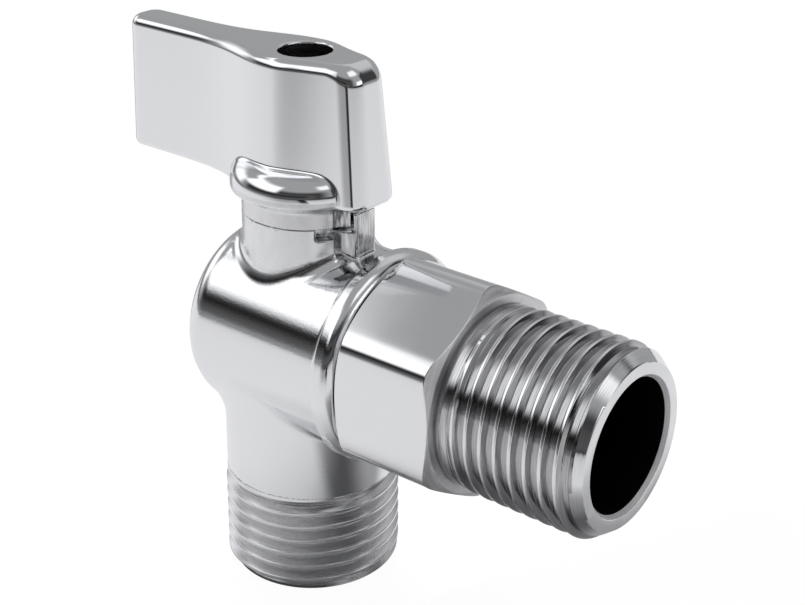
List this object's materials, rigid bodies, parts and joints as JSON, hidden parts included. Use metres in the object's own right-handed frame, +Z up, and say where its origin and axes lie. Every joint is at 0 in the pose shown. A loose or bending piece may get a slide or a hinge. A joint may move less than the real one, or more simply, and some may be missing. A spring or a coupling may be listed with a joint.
{
  "type": "angle stop valve",
  "caption": "Chrome plated quarter-turn angle stop valve: ball body with a wing handle, a male threaded wall inlet with spanner hexagon and a male threaded outlet below.",
  "frame": {"origin": "centre of the inlet's end face, where the valve screws into the wall socket", "axes": "+X out along the inlet towards the wall, +Z up along the stem towards the handle, outlet along -Z"},
  "size_m": [0.0703, 0.0248, 0.0635],
  "materials": {
    "body_chrome": "bright chrome plate over forged brass",
    "connector_chrome": "bright chrome plate over turned brass",
    "handle_chrome": "bright chrome plate over die-cast metal",
    "ball_chrome": "polished hard plate",
    "stem_brass": "turned",
    "seat_plastic": "smooth white",
    "seal_rubber": "matt black",
    "screw_steel": "plain"
  },
  "bodies": {
    "body": {"valve_body": "body_chrome", "inlet_connector": "connector_chrome", "connector_seal": "seal_rubber", "seat_front": "seat_plastic", "seat_rear": "seat_plastic", "stem_thrust_washer": "seat_plastic"},
    "lever": {"handle": "handle_chrome", "handle_screw": "screw_steel", "spring_washer": "screw_steel", "stem": "stem_brass", "stem_o_ring_lower": "seal_rubber", "stem_o_ring_upper": "seal_rubber"},
    "ball": {"ball": "ball_chrome"}
  },
  "joints": [
    {"name": "handle_turn", "type": "hinge", "parent": "body", "child": "lever", "pos_m": [-0.0437, 0, 0], "axis": [0, 0, 1], "range_deg": [-90, 0]},
    {"name": "ball_turn", "type": "hinge", "parent": "body", "child": "ball", "pos_m": [-0.0437, 0, 0], "axis": [0, 0, 1], "range_deg": [-90, 0]}
  ],
  "couplings": [
    {"joint": "ball_turn", "follows": "handle_turn", "ratio": 1}
  ]
}
